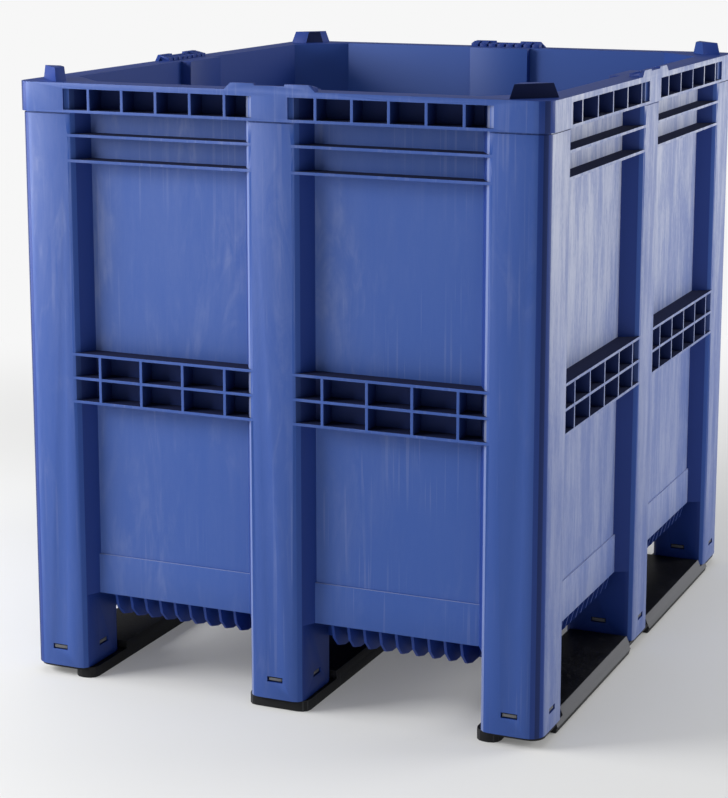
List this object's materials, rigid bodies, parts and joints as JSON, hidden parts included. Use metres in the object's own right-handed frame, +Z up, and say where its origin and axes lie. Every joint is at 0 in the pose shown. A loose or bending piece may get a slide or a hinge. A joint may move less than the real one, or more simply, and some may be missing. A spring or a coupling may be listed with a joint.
{
  "type": "bulk pallet box",
  "caption": "Tall plastic pallet box: a moulded tub with ribbed rim and belt on hollow feet, with clip-on runners under it, for bulk goods and forklift handling.",
  "frame": {"origin": "on the floor under the middle of the box", "axes": "+Z up, +Y along the runners, +X across the runners"},
  "size_m": [1, 1.2, 1.124],
  "materials": {
    "blue_plastic": "moulded blue polyethylene, scuffed pale on the outer faces",
    "black_plastic": "recycled black polyethylene, satin"
  },
  "bodies": {
    "root": {"box_body": "blue_plastic", "left_runner": "black_plastic", "middle_runner": "black_plastic", "right_runner": "black_plastic"}
  },
  "joints": []
}
